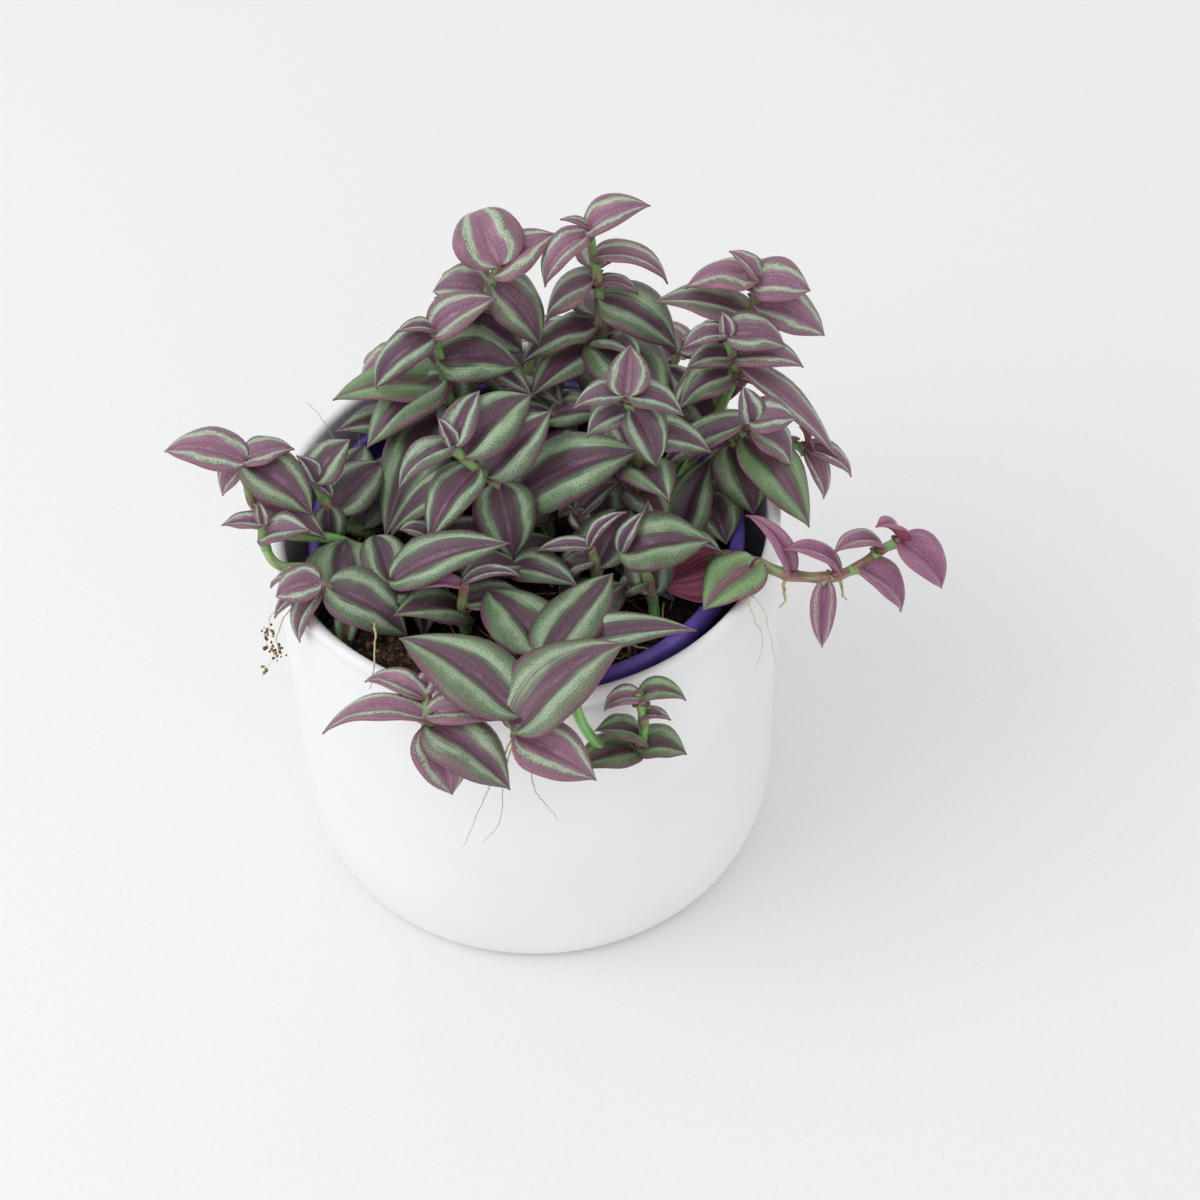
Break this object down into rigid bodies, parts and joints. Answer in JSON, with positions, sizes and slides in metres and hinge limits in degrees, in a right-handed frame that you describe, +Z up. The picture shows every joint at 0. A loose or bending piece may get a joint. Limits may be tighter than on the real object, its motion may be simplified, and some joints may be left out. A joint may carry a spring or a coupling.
{
  "type": "potted tradescantia",
  "caption": "Tradescantia with striped silver, green and purple leaves, trailing from a purple nursery pot that stands inside a round white glazed cachepot.",
  "frame": {"origin": "middle of the flat foot of the cachepot, on the surface it stands on", "axes": "+Z up along the axis of the pot, -Y to the front of the picture, +X to its right, where the longest stem trails over the rim"},
  "size_m": [0.2062, 0.1865, 0.1827],
  "materials": {
    "glazed_pot": "satin",
    "nursery_plastic": "satin",
    "potting_soil": "matte",
    "tradescantia_plant": "satin"
  },
  "bodies": {
    "root": {"cachepot": "glazed_pot", "nursery_pot": "nursery_plastic", "soil": "potting_soil", "shoot_front": "tradescantia_plant", "shoot_front_left": "tradescantia_plant", "shoot_centre_left": "tradescantia_plant", "shoot_centre": "tradescantia_plant", "shoot_back_centre": "tradescantia_plant", "shoot_back_left": "tradescantia_plant", "shoot_left_back": "tradescantia_plant", "shoot_back_right": "tradescantia_plant", "shoot_right": "tradescantia_plant", "shoot_right_low": "tradescantia_plant", "shoot_right_small": "tradescantia_plant", "shoot_right_inner": "tradescantia_plant", "shoot_mid_right": "tradescantia_plant", "shoot_right_trailing": "tradescantia_plant", "shoot_front_right": "tradescantia_plant", "shoot_left_trailing": "tradescantia_plant", "shoot_left": "tradescantia_plant", "shoot_left_front": "tradescantia_plant", "shoot_left_inner": "tradescantia_plant", "shoot_front_inner": "tradescantia_plant", "shoot_mid_left": "tradescantia_plant", "shoot_small_left": "tradescantia_plant", "shoot_mid": "tradescantia_plant", "shoot_mid_back": "tradescantia_plant", "shoot_back_inner": "tradescantia_plant", "shoot_low_centre": "tradescantia_plant", "shoot_low_right": "tradescantia_plant", "shoot_rear_left": "tradescantia_plant", "shoot_rear_right": "tradescantia_plant", "shoot_rear": "tradescantia_plant"}
  },
  "joints": []
}
